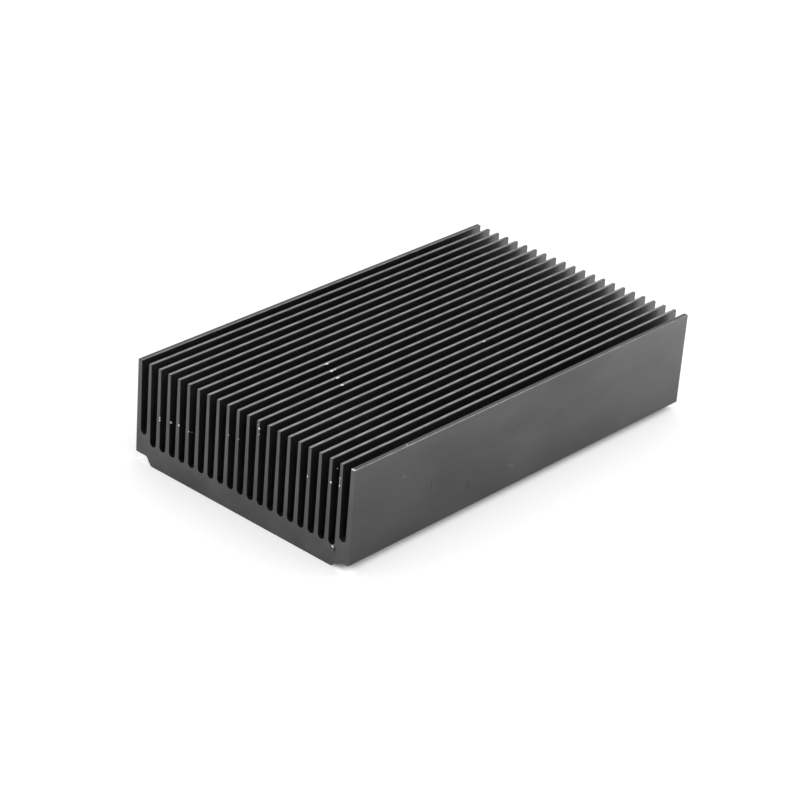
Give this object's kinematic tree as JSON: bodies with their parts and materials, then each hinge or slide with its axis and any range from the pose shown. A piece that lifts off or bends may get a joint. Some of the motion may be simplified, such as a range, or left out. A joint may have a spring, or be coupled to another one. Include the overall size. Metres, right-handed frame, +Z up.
{
  "type": "extruded heat sink",
  "caption": "Black anodised extruded aluminium heat sink: tapered plate fins on a thick base, whose raised mounting pad has a sloped shoulder and a flat ledge along each side.",
  "frame": {"origin": "centre of the mounting face under the base pad, which is also the bottom centre of the bounding box", "axes": "+Z up from the mounting face to the fin tips, +Y along the extrusion and its fins, +X across the fins"},
  "size_m": [0.0694, 0.12, 0.0266],
  "materials": {
    "anodised_aluminium": "satin black anodised, with fine lengthwise die lines and plain saw-cut ends"
  },
  "bodies": {
    "root": {"heat_sink": "anodised_aluminium"}
  },
  "joints": []
}
